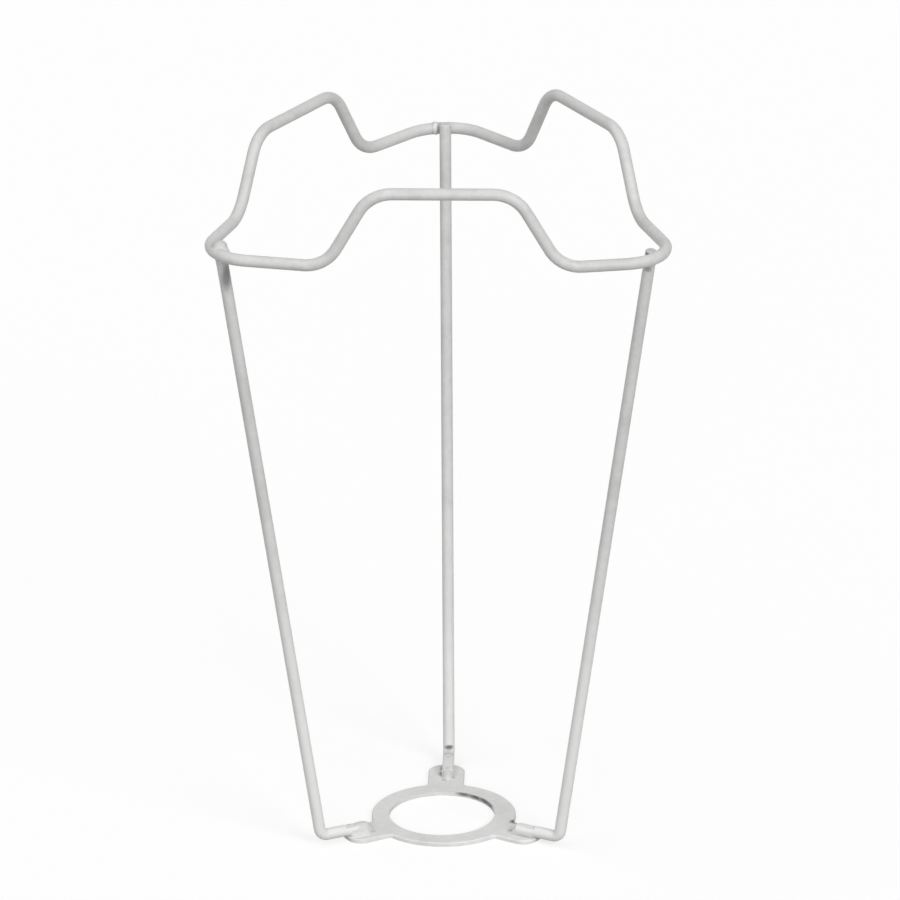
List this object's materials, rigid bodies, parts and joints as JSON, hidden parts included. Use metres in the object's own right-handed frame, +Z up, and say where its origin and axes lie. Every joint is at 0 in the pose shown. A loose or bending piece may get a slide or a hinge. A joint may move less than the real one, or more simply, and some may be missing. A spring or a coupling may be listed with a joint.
{
  "type": "lamp shade carrier",
  "caption": "Welded wire carrier that holds a lamp shade above a lampholder: a tabbed ring, straight wire arms and a bow bent into humps and lobes.",
  "frame": {"origin": "centre of the base ring's hole, on the ring's underside", "axes": "+Z up along the lampholder, +Y towards the rear arm, +X to the right seen from the front"},
  "size_m": [0.1231, 0.116, 0.1995],
  "materials": {
    "plate_paint": "satin",
    "wire_paint": "satin"
  },
  "bodies": {
    "root": {"base_ring": "plate_paint", "bow": "wire_paint", "arm_rear": "wire_paint", "arm_left": "wire_paint", "arm_right": "wire_paint"}
  },
  "joints": []
}
